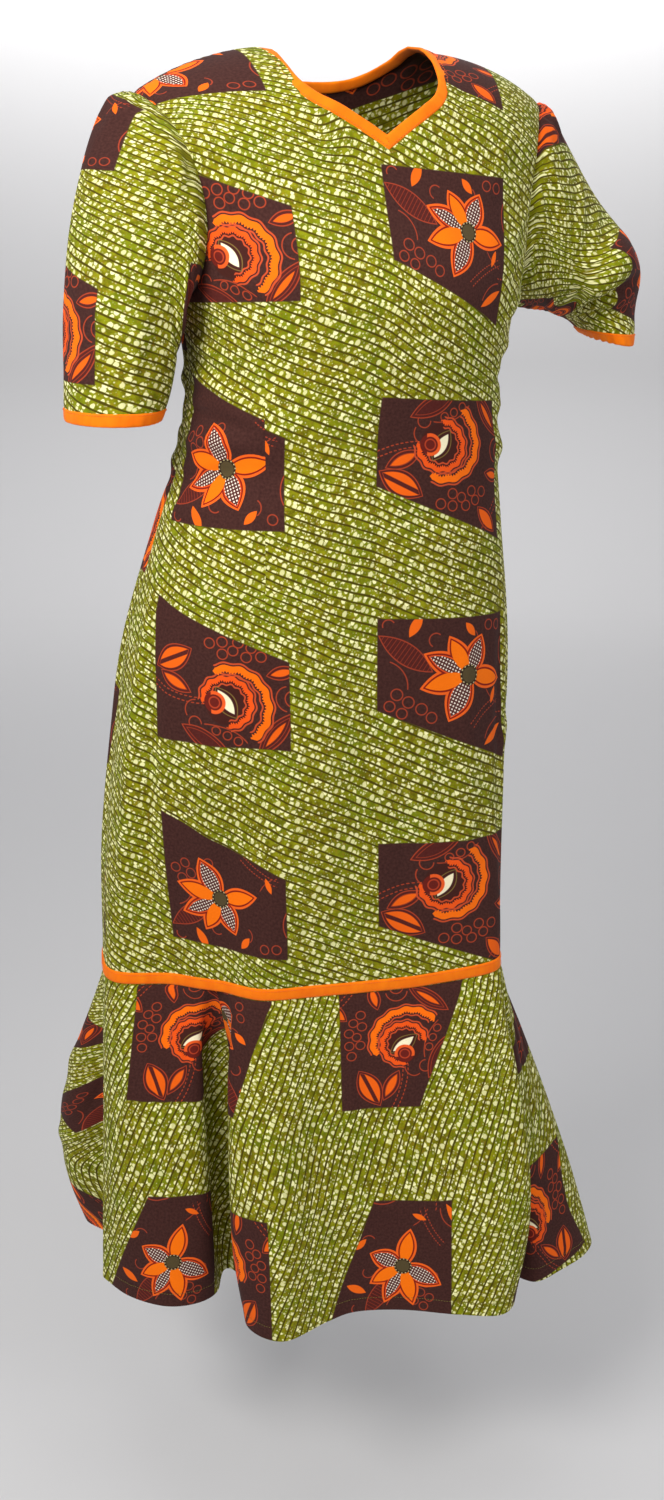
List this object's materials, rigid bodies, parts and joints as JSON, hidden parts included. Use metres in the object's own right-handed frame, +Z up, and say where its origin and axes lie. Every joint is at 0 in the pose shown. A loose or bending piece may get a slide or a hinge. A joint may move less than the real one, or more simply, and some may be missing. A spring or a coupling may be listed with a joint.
{
  "type": "dress",
  "caption": "Worn ankle-length cotton dress with V neck, set-in half sleeves, fitted body and flared flounce, in green wax print with flower panels and orange binding",
  "frame": {"origin": "On the shoulders that carry the dress, midway between the two ends of the neckline", "axes": "+Z up, front towards -Y, the wearer's left at +X"},
  "size_m": [0.5941, 0.3621, 1.2051],
  "materials": {
    "print_cloth": "printed plain-weave cotton",
    "orange_binding": "plain-weave cotton"
  },
  "bodies": {
    "root": {"front_body": "print_cloth", "back_body": "print_cloth", "sleeve_right": "print_cloth", "sleeve_left": "print_cloth", "flounce_front": "print_cloth", "flounce_back": "print_cloth", "neck_binding": "orange_binding", "cuff_binding_right": "orange_binding", "cuff_binding_left": "orange_binding", "seam_band": "orange_binding"}
  },
  "joints": []
}
